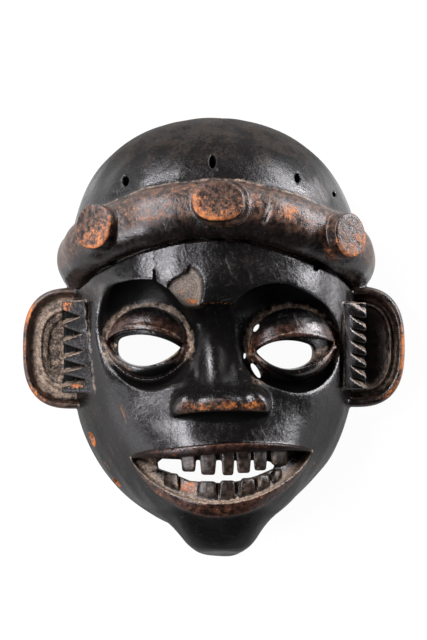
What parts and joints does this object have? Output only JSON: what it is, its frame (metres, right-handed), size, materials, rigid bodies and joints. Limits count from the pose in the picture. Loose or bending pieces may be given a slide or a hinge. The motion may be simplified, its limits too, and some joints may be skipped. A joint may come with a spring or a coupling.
{
  "type": "carved wooden face mask",
  "caption": "Hollow carved wooden face mask with domed crown, pegged headband roll, ridged ears with toothed strips, pierced almond eyes, broad nose and an open toothed mouth.",
  "frame": {"origin": "in the plane of the back rim, at the middle of the mask's outline", "axes": "+Z out of the face, away from the rim that it lies on; +Y towards the crown; +X to the right of someone looking at the face"},
  "size_m": [0.2337, 0.269, 0.1025],
  "materials": {
    "blackened_wood": "worn glossy black patina"
  },
  "bodies": {
    "root": {"mask": "blackened_wood"}
  },
  "joints": []
}
